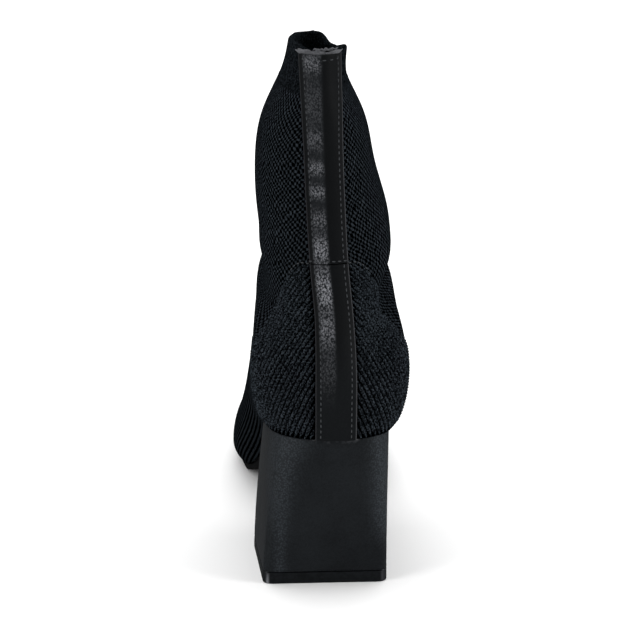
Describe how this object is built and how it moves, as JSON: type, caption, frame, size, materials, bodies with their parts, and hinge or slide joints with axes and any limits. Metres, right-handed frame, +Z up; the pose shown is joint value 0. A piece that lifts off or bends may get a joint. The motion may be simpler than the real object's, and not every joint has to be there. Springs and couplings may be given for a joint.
{
  "type": "knit ankle boot",
  "caption": "Left ankle boot with a hollow knit upper and ribbed collar, a leather strip up the back, a thin sole and a covered block heel.",
  "frame": {"origin": "middle of the heel's tread, on the floor", "axes": "+Z up, +Y towards the toe, +X towards the inner side of the foot; the boot is a left one"},
  "size_m": [0.0779, 0.2394, 0.2352],
  "materials": {
    "knit": "matte black stretch knit with fine ribs and loops",
    "leather": "black leather, fine pebbled grain, satin",
    "lining": "dark lining leather, matte",
    "sole_rubber": "black rubber, matte",
    "heel_leather": "smooth black leather, satin",
    "lift_rubber": "black rubber, matte"
  },
  "bodies": {
    "root": {"upper": "knit", "back_strip_upper": "leather", "back_strip_lower": "leather", "insole": "lining", "outsole": "sole_rubber", "heel_block": "heel_leather", "top_lift": "lift_rubber"}
  },
  "joints": []
}
